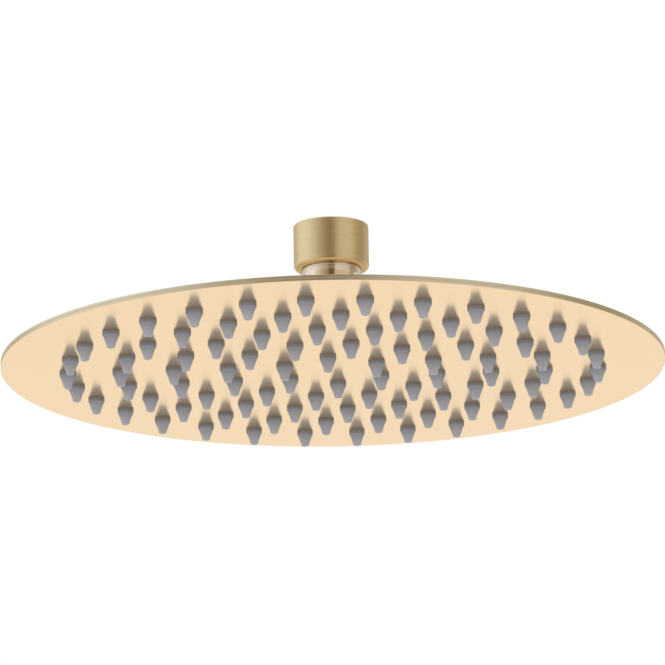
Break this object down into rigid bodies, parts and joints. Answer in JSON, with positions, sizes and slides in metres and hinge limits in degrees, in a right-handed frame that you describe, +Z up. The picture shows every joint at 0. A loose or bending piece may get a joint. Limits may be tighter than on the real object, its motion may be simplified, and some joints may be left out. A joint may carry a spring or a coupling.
{
  "type": "shower head",
  "caption": "Thin round rain shower head with rings of soft tapered nozzles under a flat face, hung from a threaded inlet connector by a swivelling ball joint.",
  "frame": {"origin": "on the inlet axis, at the top end of the inlet thread's full wall, one mouth chamfer (0.8 mm) below the connector's top face", "axes": "+Z up, along the inlet axis and out of its mouth; the nozzles face -Z; +X lies midway between two nozzles of every ring"},
  "size_m": [0.25, 0.25, 0.0623],
  "materials": {
    "brushed_brass": "brushed round the axis, satin",
    "coated_steel": "stainless sheet with a thin brushed brass coloured coating, fine straight brushing on the face",
    "polished_nickel": "nickel plated brass, polished with fine turned lines",
    "grey_silicone": "moulded silicone, matt",
    "black_rubber": "moulded, matt",
    "white_resin": "moulded, matt",
    "steel_mesh": "plain stainless"
  },
  "bodies": {
    "connector": {"inlet_connector": "brushed_brass", "inlet_washer": "black_rubber", "filter_gauze": "steel_mesh", "ball_seal": "black_rubber", "retaining_nut": "polished_nickel"},
    "seat": {"ball_seat": "white_resin"},
    "head": {"ball_stem": "polished_nickel", "stem_seal": "black_rubber", "flow_regulator": "white_resin", "regulator_ring": "black_rubber", "hub": "brushed_brass", "hub_gasket": "black_rubber", "hub_ring_nut": "brushed_brass", "back_plate": "coated_steel", "plate_spacers": "steel_mesh", "face_plate": "coated_steel", "nozzle_ring_1": "grey_silicone", "nozzle_ring_2": "grey_silicone", "nozzle_ring_3": "grey_silicone", "nozzle_ring_4": "grey_silicone", "nozzle_ring_5": "grey_silicone"}
  },
  "joints": [
    {"name": "swivel", "type": "hinge", "parent": "connector", "child": "seat", "pos_m": [0, 0, -0.0207], "axis": [0, 0, 1], "continuous": true},
    {"name": "tilt", "type": "hinge", "parent": "seat", "child": "head", "pos_m": [0, 0, -0.0207], "axis": [1, 0, 0], "range_deg": [-15, 15]}
  ]
}
